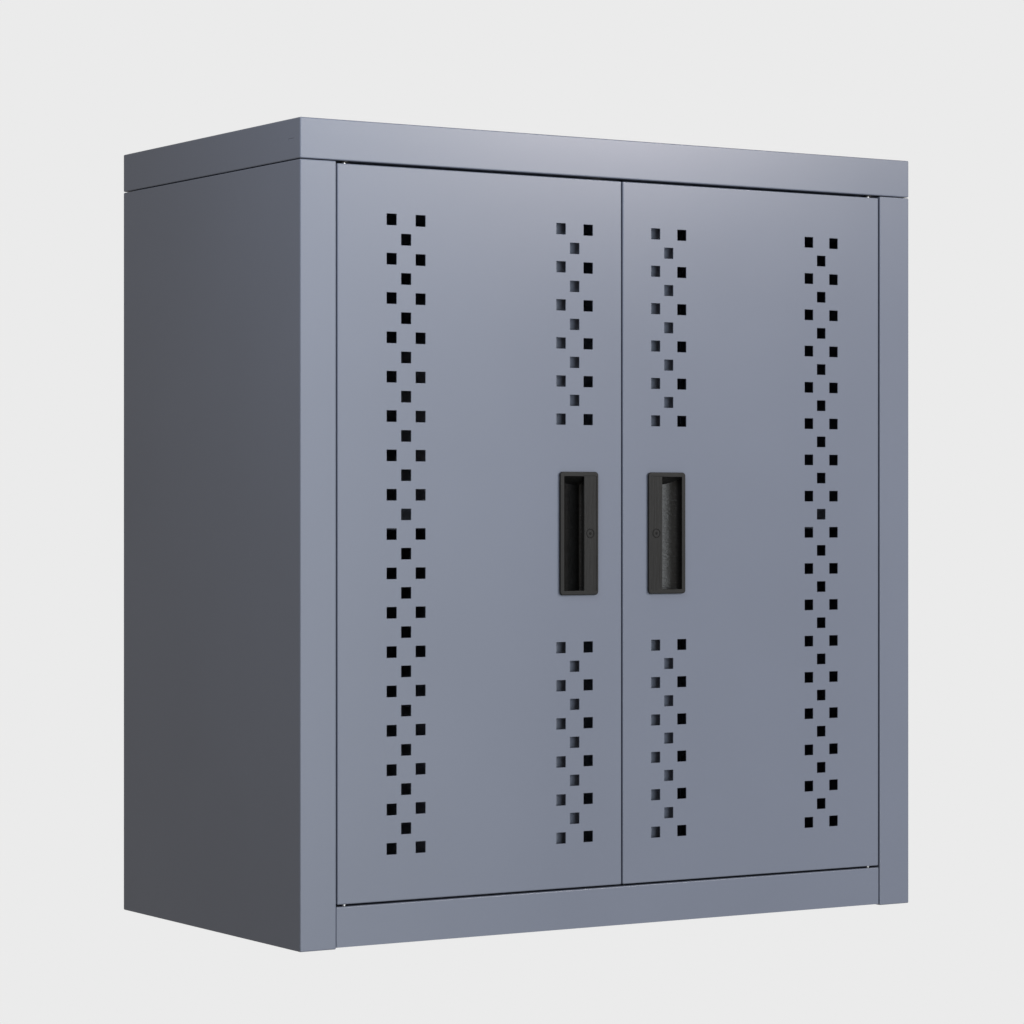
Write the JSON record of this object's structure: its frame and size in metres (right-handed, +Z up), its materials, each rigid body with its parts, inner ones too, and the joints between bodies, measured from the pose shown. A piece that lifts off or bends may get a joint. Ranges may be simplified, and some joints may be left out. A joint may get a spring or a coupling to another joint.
{
  "type": "hanging wall cabinet",
  "caption": "Sheet-steel wall cabinet with perforated double doors on pivot pins, moulded recessed pulls, an adjustable shelf and a hanging rail inside.",
  "frame": {"origin": "middle of the object's footprint (handles included), on the plane of the side panels' lower ends", "axes": "+Z up, +X to the right when facing the doors, doors face -Y, wall side faces +Y"},
  "size_m": [0.66, 0.3522, 0.71],
  "materials": {
    "case_paint": "satin grey powder coat, fine orange peel",
    "door_paint": "satin grey powder coat, fine orange peel",
    "black_plastic": "moulded, fine vertical texture on the plate",
    "catch_plastic": "moulded",
    "dark_nylon": "moulded",
    "pin_steel": "bright zinc",
    "zinc_fastener": "bright zinc",
    "zinc_clip": "bright zinc",
    "magnet": "ground ferrite"
  },
  "bodies": {
    "case": {"back_panel": "case_paint", "back_screw_lower_left": "zinc_fastener", "back_screw_lower_right": "zinc_fastener", "back_screw_middle_left": "zinc_fastener", "back_screw_middle_right": "zinc_fastener", "back_screw_upper_left": "zinc_fastener", "back_screw_upper_right": "zinc_fastener", "base_bolt_front_left": "zinc_fastener", "base_bolt_front_right": "zinc_fastener", "base_bolt_rear_left": "zinc_fastener", "base_bolt_rear_right": "zinc_fastener", "base_nut_front_left": "zinc_fastener", "base_nut_front_right": "zinc_fastener", "base_nut_rear_left": "zinc_fastener", "base_nut_rear_right": "zinc_fastener", "bottom_panel": "case_paint", "catch_case_left": "catch_plastic", "catch_case_right": "catch_plastic", "catch_magnet_left": "magnet", "catch_magnet_right": "magnet", "catch_screw_left": "zinc_fastener", "catch_screw_right": "zinc_fastener", "hanging_rail": "case_paint", "hinge_bush_bottom_left": "dark_nylon", "hinge_bush_bottom_right": "dark_nylon", "hinge_bush_top_left": "dark_nylon", "hinge_bush_top_right": "dark_nylon", "left_side_panel": "case_paint", "right_side_panel": "case_paint", "shelf": "case_paint", "shelf_clip_front_left": "zinc_clip", "shelf_clip_front_right": "zinc_clip", "shelf_clip_rear_left": "zinc_clip", "shelf_clip_rear_right": "zinc_clip", "shelf_stiffener": "case_paint", "top_bolt_front_left": "zinc_fastener", "top_bolt_front_right": "zinc_fastener", "top_bolt_rear_left": "zinc_fastener", "top_bolt_rear_right": "zinc_fastener", "top_panel": "case_paint"},
    "left_door": {"left_door_panel": "door_paint", "left_door_stiffener": "door_paint", "left_handle": "black_plastic", "left_hinge_pin_bottom": "pin_steel", "left_hinge_pin_top": "pin_steel"},
    "right_door": {"right_door_panel": "door_paint", "right_door_stiffener": "door_paint", "right_handle": "black_plastic", "right_hinge_pin_bottom": "pin_steel", "right_hinge_pin_top": "pin_steel"}
  },
  "joints": [
    {"name": "left_door_hinge", "type": "hinge", "parent": "case", "child": "left_door", "pos_m": [-0.2845, -0.16795, 0.355], "axis": [0, 0, -1], "range_deg": [0, 115]},
    {"name": "right_door_hinge", "type": "hinge", "parent": "case", "child": "right_door", "pos_m": [0.2845, -0.16795, 0.355], "axis": [0, 0, 1], "range_deg": [0, 115]}
  ]
}
